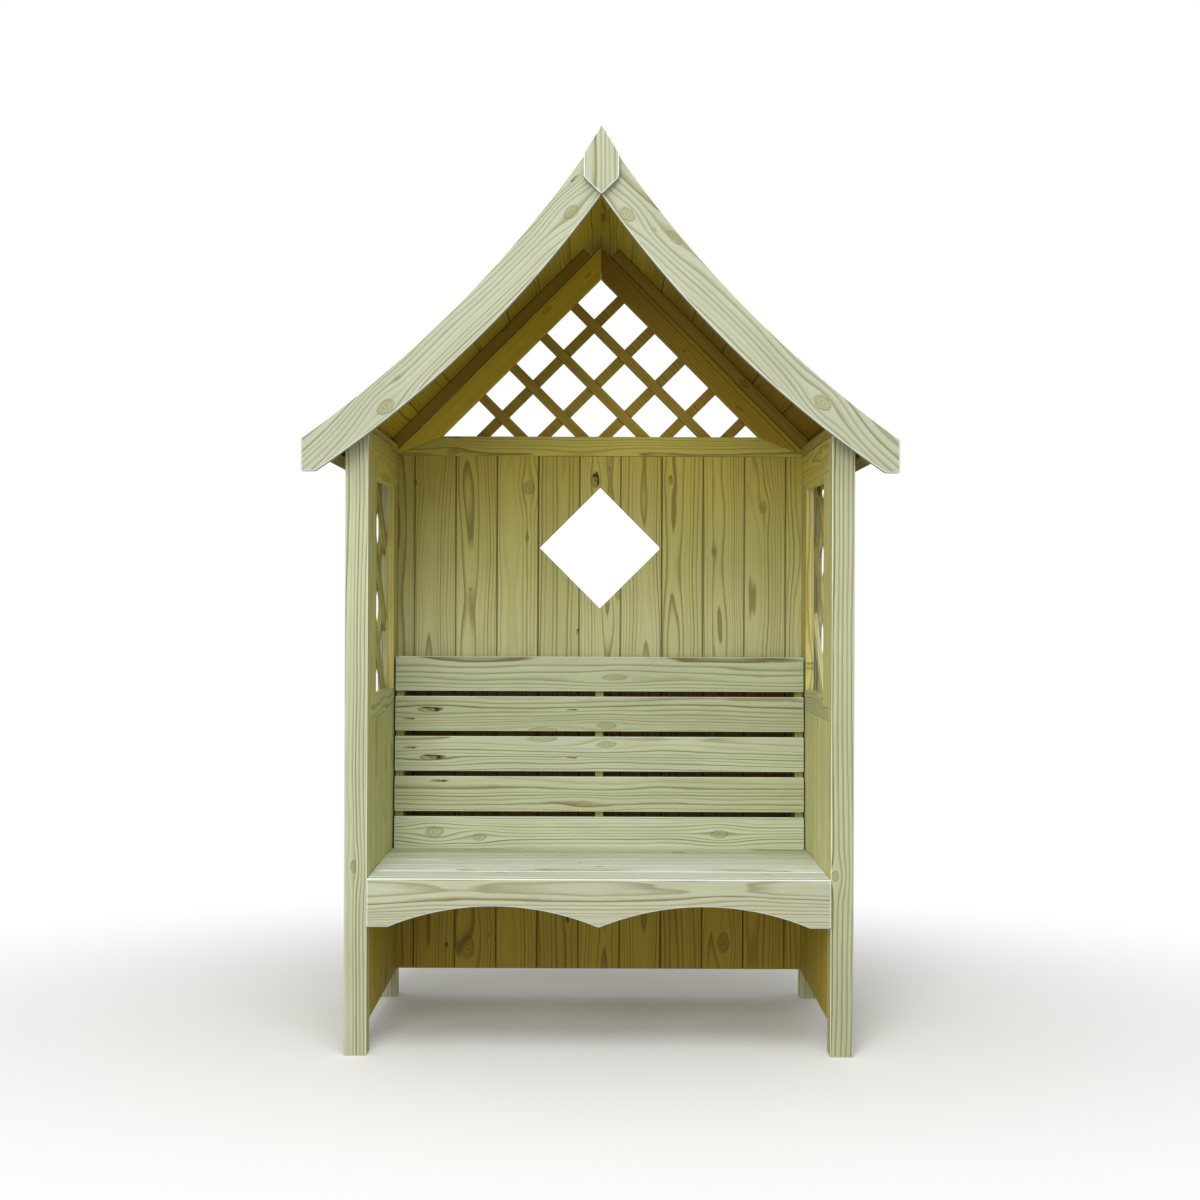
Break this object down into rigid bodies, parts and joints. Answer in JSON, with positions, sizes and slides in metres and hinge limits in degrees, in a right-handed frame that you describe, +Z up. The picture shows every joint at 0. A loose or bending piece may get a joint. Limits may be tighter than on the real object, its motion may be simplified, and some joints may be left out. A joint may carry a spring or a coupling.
{
  "type": "arbour seat",
  "caption": "Wooden garden arbour seat: slatted bench between trellised sides under a steep boarded roof with curved bargeboards and a finial.",
  "frame": {"origin": "on the ground, in the middle of the overall width and depth", "axes": "+Z up, +X to the right seen from the front, +Y towards the back wall"},
  "size_m": [1.3546, 0.8708, 2.1203],
  "materials": {
    "fascia": "planed, pressure-treated pine",
    "post": "planed, pressure-treated pine",
    "seat": "planed, pressure-treated pine",
    "frame": "planed, pressure-treated pine",
    "board": "planed, pressure-treated pine",
    "roof": "planed, pressure-treated pine",
    "lath": "planed, pressure-treated pine"
  },
  "bodies": {
    "root": {"post_front_left": "post", "post_front_right": "post", "post_back_left": "post", "post_back_right": "post", "side_top_rail_left": "frame", "side_top_rail_right": "frame", "side_mid_rail_left": "frame", "side_mid_rail_right": "frame", "side_stile_front_left": "frame", "side_stile_front_right": "frame", "side_stile_back_left": "frame", "side_stile_back_right": "frame", "side_trellis_left": "lath", "side_trellis_right": "lath", "side_boards_left": "board", "side_boards_right": "board", "side_bottom_rail_left": "frame", "side_bottom_rail_right": "frame", "wall_plate_left": "frame", "wall_plate_right": "frame", "back_boards_left": "board", "back_boards_centre": "board", "back_boards_right": "board", "back_rail_bottom": "frame", "back_rail_middle": "frame", "back_rail_top": "frame", "gable_rail_bottom": "frame", "gable_rail_left": "frame", "gable_rail_right": "frame", "gable_trellis": "lath", "roof_boards_left": "roof", "roof_boards_right": "roof", "roof_batten_front_left": "roof", "roof_batten_front_right": "roof", "roof_batten_gable_left": "roof", "roof_batten_gable_right": "roof", "roof_batten_eaves_left": "roof", "roof_batten_eaves_right": "roof", "bargeboard_front_left": "fascia", "bargeboard_front_right": "fascia", "bargeboard_back_left": "fascia", "bargeboard_back_right": "fascia", "finial": "fascia", "seat_board_1": "seat", "seat_board_2": "seat", "seat_board_3": "seat", "seat_board_4": "seat", "seat_board_5": "seat", "seat_bearer_left": "frame", "seat_bearer_centre": "frame", "seat_bearer_right": "frame", "seat_apron": "fascia", "back_slat_1": "seat", "back_slat_2": "seat", "back_slat_3": "seat", "back_slat_4": "seat", "back_slat_5": "seat", "backrest_batten_left": "frame", "backrest_batten_centre": "frame", "backrest_batten_right": "frame"}
  },
  "joints": []
}
